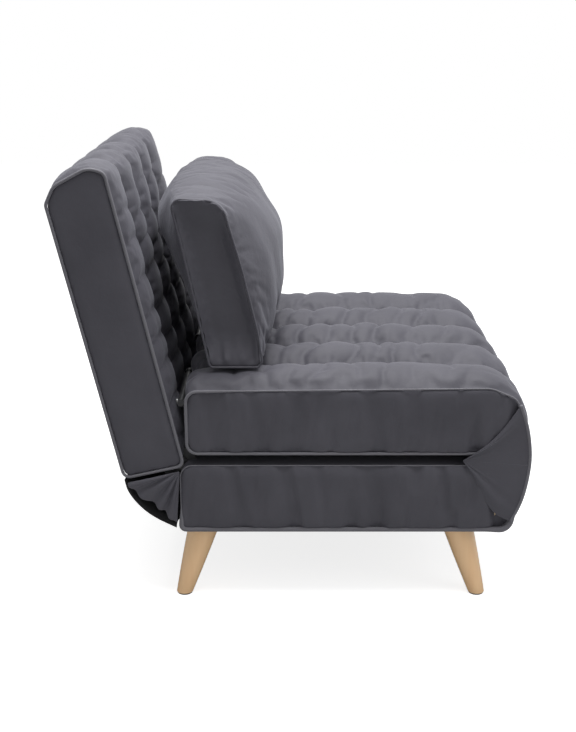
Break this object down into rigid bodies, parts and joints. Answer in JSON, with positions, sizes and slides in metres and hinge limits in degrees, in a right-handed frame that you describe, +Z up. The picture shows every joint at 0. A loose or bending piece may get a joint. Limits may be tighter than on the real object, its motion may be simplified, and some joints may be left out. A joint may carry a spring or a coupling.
{
  "type": "convertible chair bed",
  "caption": "Armless upholstered chair that unfolds into a bed: seat flips forward, back reclines flat, loose pillow, splayed wooden legs.",
  "frame": {"origin": "on the floor under the middle of the whole part, set up as a chair", "axes": "+X forward, the way the sitter faces, +Y to the sitter's left, +Z up"},
  "size_m": [0.8858, 0.7036, 0.8421],
  "materials": {
    "cover_fabric": "smooth velvet-like upholstery",
    "piping_fabric": "folded piping",
    "black_cloth": "thin non-woven lining",
    "foam": "foam and wadding",
    "leg_wood": "clear satin lacquer",
    "frame_wood": "raw pine and plywood",
    "steel_black": "black powder coat",
    "steel_zinc": "zinc plated",
    "plastic_black": "moulded plastic"
  },
  "bodies": {
    "base": {"base_cover": "cover_fabric", "base_dust_cover": "black_cloth", "base_foam": "foam", "base_front_rail": "frame_wood", "base_leg_blocks": "frame_wood", "base_nose_board": "frame_wood", "base_piping": "piping_fabric", "base_rear_rail": "frame_wood", "base_side_rail_left": "frame_wood", "base_side_rail_right": "frame_wood", "base_slats": "frame_wood", "front_hinge_lower": "steel_zinc", "front_hinge_pins": "steel_zinc", "front_wrap": "cover_fabric", "hinge_bolts": "steel_zinc", "hinge_pins": "steel_zinc", "hinge_plates": "steel_black", "leg_bolts": "steel_zinc", "leg_front_left": "leg_wood", "leg_front_right": "leg_wood", "leg_glides": "plastic_black", "leg_plates": "steel_zinc", "leg_rear_left": "leg_wood", "leg_rear_right": "leg_wood", "pawl_pins": "steel_zinc", "pawl_springs": "steel_zinc", "rear_gussets": "cover_fabric", "rear_lining": "black_cloth"},
    "seat": {"foot_brackets": "steel_black", "foot_pins": "steel_zinc", "front_hinge_upper": "steel_zinc", "seat_cover": "cover_fabric", "seat_lower_foam": "foam", "seat_nose_board": "frame_wood", "seat_piping": "piping_fabric", "seat_rear_rail": "frame_wood", "seat_side_rail_left": "frame_wood", "seat_side_rail_right": "frame_wood", "seat_slats": "frame_wood", "seat_upper_foam": "foam"},
    "back": {"back_cover": "cover_fabric", "back_foam": "foam", "back_lower_tube": "steel_black", "back_piping": "piping_fabric", "back_slats": "frame_wood", "back_top_tube": "steel_black", "back_upright_left": "steel_black", "back_upright_right": "steel_black", "hinge_arm_left": "steel_black", "hinge_arm_right": "steel_black", "hinge_rivets": "steel_zinc"},
    "foot_left": {"foot_leg_left": "steel_black", "foot_cap_left": "plastic_black"},
    "foot_right": {"foot_leg_right": "steel_black", "foot_cap_right": "plastic_black"},
    "pawl_left_body": {"pawl_left": "steel_zinc"},
    "pawl_right_body": {"pawl_right": "steel_zinc"},
    "pillow": {"pillow_cover": "cover_fabric", "pillow_filling": "foam"}
  },
  "joints": [
    {"name": "back_recline", "type": "hinge", "parent": "base", "child": "back", "pos_m": [-0.22105, 0, 0.265], "axis": [0, -1, 0], "range_deg": [0, 77.3], "deforming": ["rear_gussets", "rear_lining"]},
    {"name": "seat_unfold", "type": "hinge", "parent": "base", "child": "seat", "pos_m": [0.43645, 0, 0.2855], "axis": [0, 1, 0], "range_deg": [0, 180], "deforming": ["front_wrap"]},
    {"name": "foot_left_swing", "type": "hinge", "parent": "seat", "child": "foot_left", "pos_m": [-0.21455, 0.306, 0.389], "axis": [-1, 0, 0], "range_deg": [0, 90]},
    {"name": "foot_right_swing", "type": "hinge", "parent": "seat", "child": "foot_right", "pos_m": [-0.21455, -0.306, 0.389], "axis": [1, 0, 0], "range_deg": [0, 90]},
    {"name": "pawl_left_drop", "type": "hinge", "parent": "base", "child": "pawl_left_body", "pos_m": [-0.18966, 0.3, 0.22378], "axis": [0, -1, 0], "range_deg": [0, 8]},
    {"name": "pawl_right_drop", "type": "hinge", "parent": "base", "child": "pawl_right_body", "pos_m": [-0.18966, -0.3, 0.22378], "axis": [0, -1, 0], "range_deg": [0, 8]},
    {"name": "pillow_lift", "type": "slide", "parent": "seat", "child": "pillow", "axis": [0, 0, 1], "range_m": [0, 0.45]}
  ]
}
